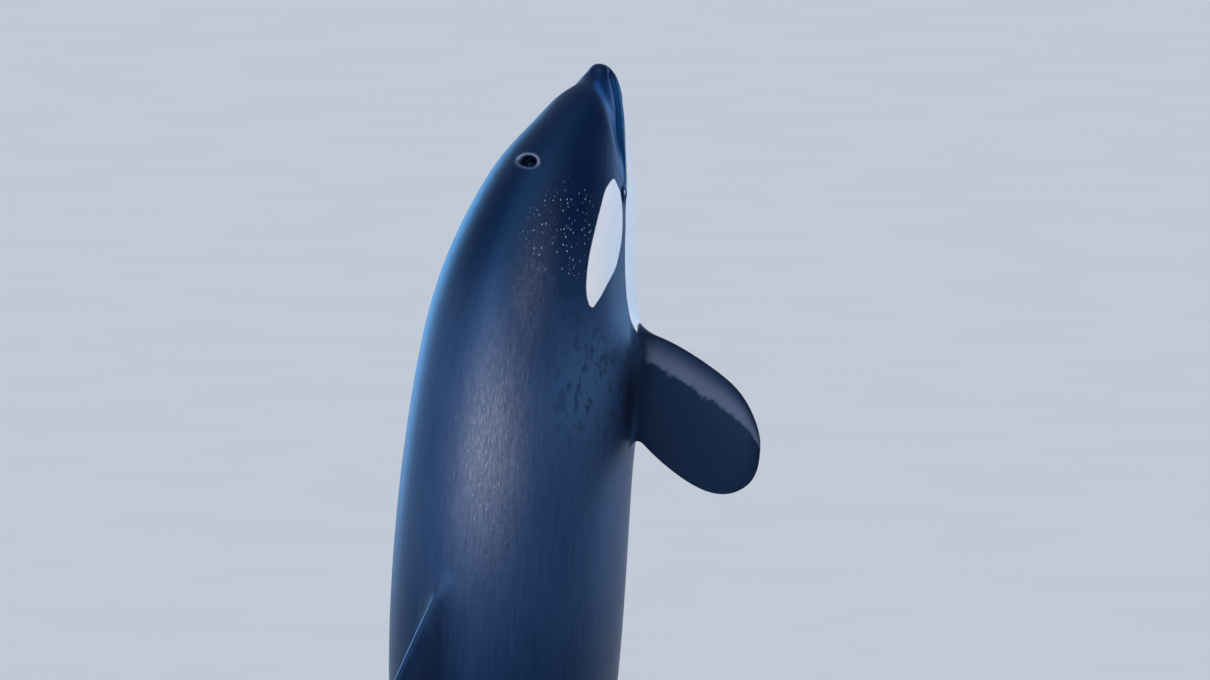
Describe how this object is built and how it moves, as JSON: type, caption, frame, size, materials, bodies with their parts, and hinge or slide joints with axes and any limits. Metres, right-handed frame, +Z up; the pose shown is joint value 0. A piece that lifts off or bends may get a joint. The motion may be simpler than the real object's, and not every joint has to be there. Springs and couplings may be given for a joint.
{
  "type": "orca",
  "caption": "Life-size orca rising head first, mouth closed, held upright by short rods on a flat round display base; a still model with flippers spread and tail hanging.",
  "frame": {"origin": "centre of the underside of the round base, where it rests on the floor", "axes": "+Z up, towards the head; +X towards the belly; +Y towards the left side; the body leans a little towards +X and -Y as it rises"},
  "size_m": [2.3452, 2.1, 5.943],
  "materials": {
    "skin_black": "wet, glossy, near black",
    "skin_white": "wet, glossy, cool white",
    "eye": "polished, very dark brown",
    "base_paint": "satin dark grey",
    "rod_steel": "brushed"
  },
  "bodies": {
    "root": {"head": "skin_black", "lower_jaw": "skin_white", "chest": "skin_black", "abdomen": "skin_black", "tail_stock": "skin_black", "dorsal_fin": "skin_black", "flipper_left": "skin_black", "flipper_right": "skin_black", "fluke_left": "skin_black", "fluke_right": "skin_black", "eye_left": "eye", "eye_right": "eye", "stand_base": "base_paint", "stand_rod_front": "rod_steel", "stand_rod_back": "rod_steel"}
  },
  "joints": []
}
